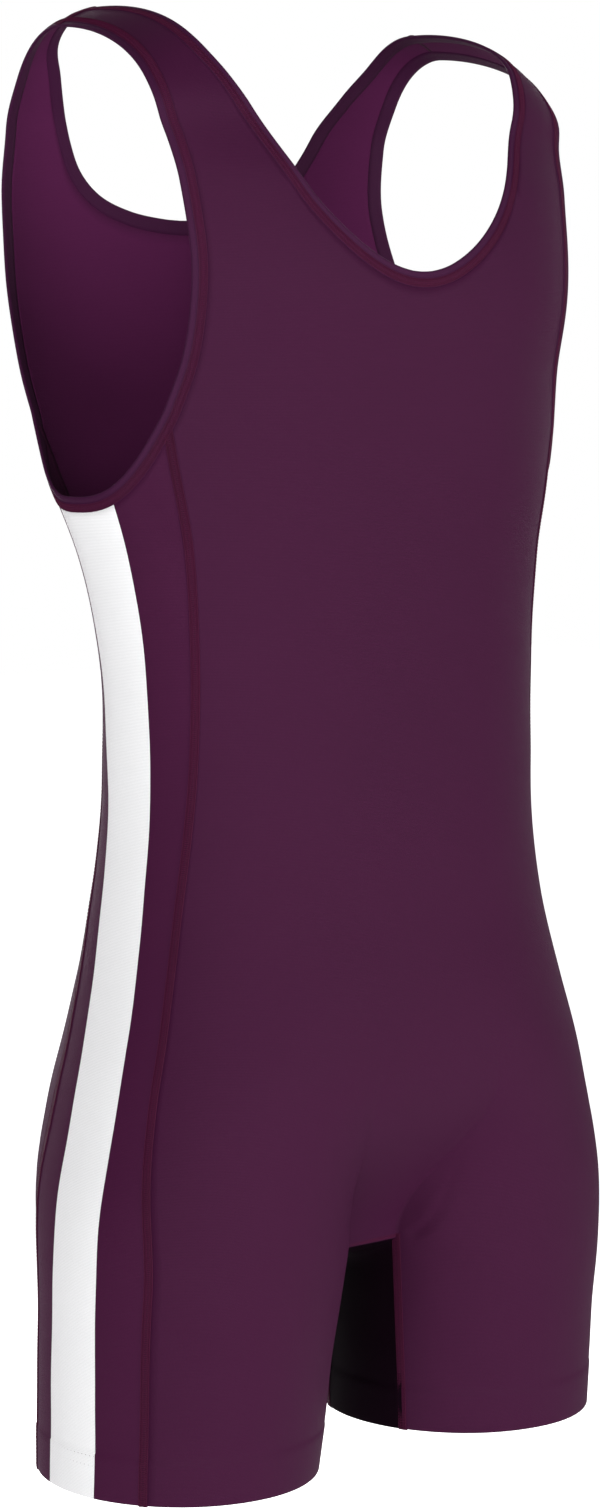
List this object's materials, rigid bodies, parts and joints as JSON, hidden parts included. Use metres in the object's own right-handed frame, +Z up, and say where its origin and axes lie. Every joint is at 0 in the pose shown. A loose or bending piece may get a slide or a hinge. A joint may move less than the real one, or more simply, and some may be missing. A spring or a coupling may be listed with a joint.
{
  "type": "wrestling singlet",
  "caption": "One-piece sleeveless stretch-knit garment with wide straps, scooped neck, deep armholes and fitted thigh-length legs, filled out as worn.",
  "frame": {"origin": "midway between the tops of the two shoulder straps, where the wearer's shoulders hold the garment", "axes": "+Z up, -Y the way the chest faces, -X towards the wearer's right side"},
  "size_m": [0.3722, 0.23, 0.811],
  "materials": {
    "body_knit": "matt stretch knit with a soft sheen, dark plum",
    "side_knit": "matt stretch knit, dark plum with a broad white band",
    "gusset_knit": "matt stretch knit, near black plum",
    "binding": "rolled edge with coverstitching, dark plum"
  },
  "bodies": {
    "root": {"front": "body_knit", "back": "body_knit", "side_right": "side_knit", "side_left": "side_knit", "gusset": "gusset_knit", "neck_binding": "binding", "armhole_binding_right": "binding", "armhole_binding_left": "binding"}
  },
  "joints": []
}
